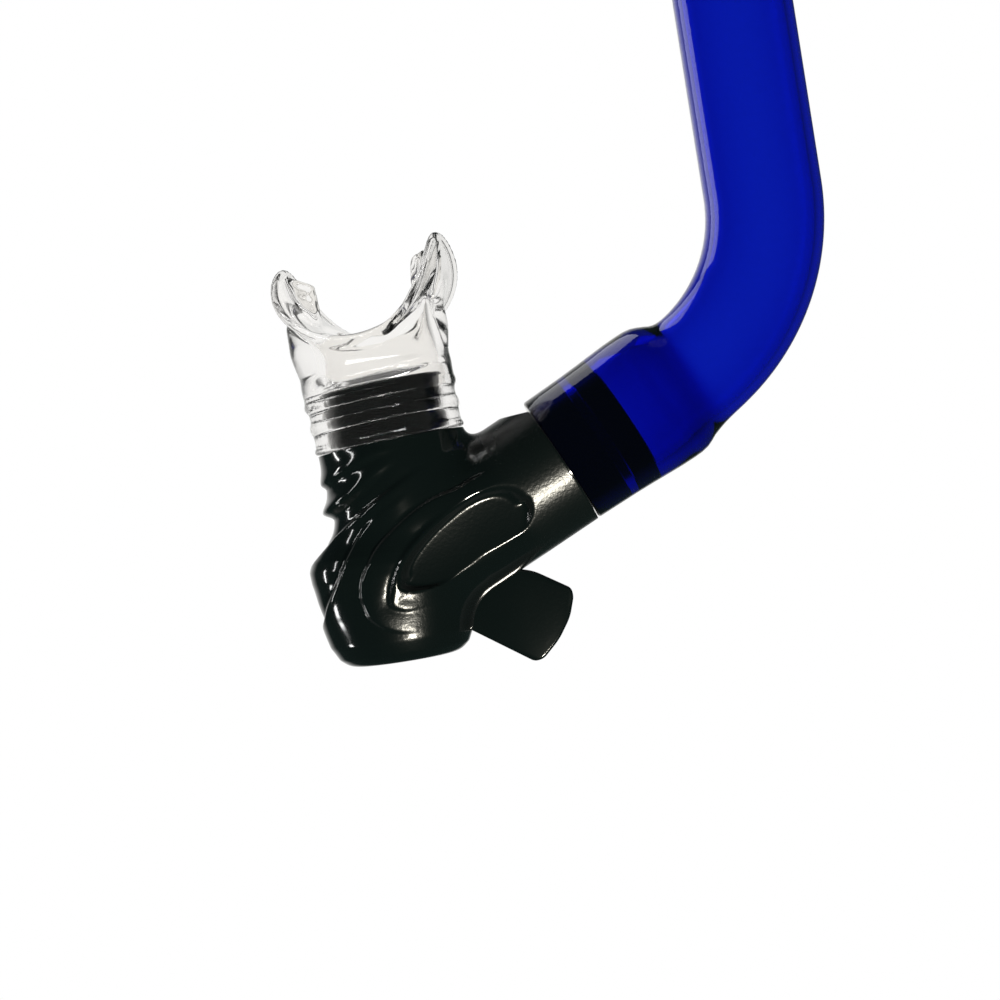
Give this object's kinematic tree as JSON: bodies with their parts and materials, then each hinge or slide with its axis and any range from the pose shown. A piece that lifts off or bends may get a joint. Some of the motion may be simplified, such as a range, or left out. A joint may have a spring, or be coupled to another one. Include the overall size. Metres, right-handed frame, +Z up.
{
  "type": "snorkel tube",
  "caption": "J-shaped snorkel: blue bent tube with a bell socket on a black drain chamber with a side fin, a clear bite mouthpiece, a purge valve and a mask strap keeper.",
  "frame": {"origin": "centre of the mouth opening, between the lips, at the middle of the lip flange", "axes": "+Z up along the straight run of the tube, +X from the mouth to the tube, +Y out of the plane that the bent tube lies in"},
  "size_m": [0.1225, 0.0352, 0.4026],
  "materials": {
    "clear_silicone": "clear glossy silicone rubber",
    "black_plastic": "glossy moulded plastic, fine grain in the medallion",
    "blue_tube": "glossy translucent deep blue PVC",
    "black_insert": "satin moulded plastic",
    "valve_silicone": "thin milky silicone",
    "black_rubber": "matte soft rubber",
    "black_clip": "satin moulded plastic",
    "signal_orange": "fluorescent film"
  },
  "bodies": {
    "mouth_body": {"mouthpiece": "clear_silicone"},
    "chamber": {"chamber_body": "black_plastic", "purge_seat": "black_insert", "purge_cover": "black_insert"},
    "tube_body": {"tube": "blue_tube", "signal_band": "signal_orange"},
    "flap": {"purge_flap": "valve_silicone"},
    "sleeve": {"keeper_sleeve": "black_rubber"},
    "clip": {"keeper_clip": "black_clip"}
  },
  "joints": [
    {"name": "chamber_turn", "type": "hinge", "parent": "mouth_body", "child": "chamber", "pos_m": [0, 0, 0], "axis": [-0.0523, 0, 0.9986], "continuous": true},
    {"name": "tube_swivel", "type": "hinge", "parent": "chamber", "child": "tube_body", "pos_m": [0.00248, 0, -0.04734], "axis": [0.9063, 0, 0.4226], "continuous": true},
    {"name": "purge_lift", "type": "slide", "parent": "chamber", "child": "flap", "axis": [0, 0, -1], "range_m": [0, 0.0015], "stiffness_N_per_m": 20, "springref_m": -0.001},
    {"name": "keeper_slide", "type": "slide", "parent": "tube_body", "child": "sleeve", "axis": [0, 0, 1], "range_m": [-0.11, 0.13]},
    {"name": "clip_turn", "type": "hinge", "parent": "sleeve", "child": "clip", "pos_m": [0.087, 0, 0.15], "axis": [0, 0, 1], "continuous": true}
  ]
}
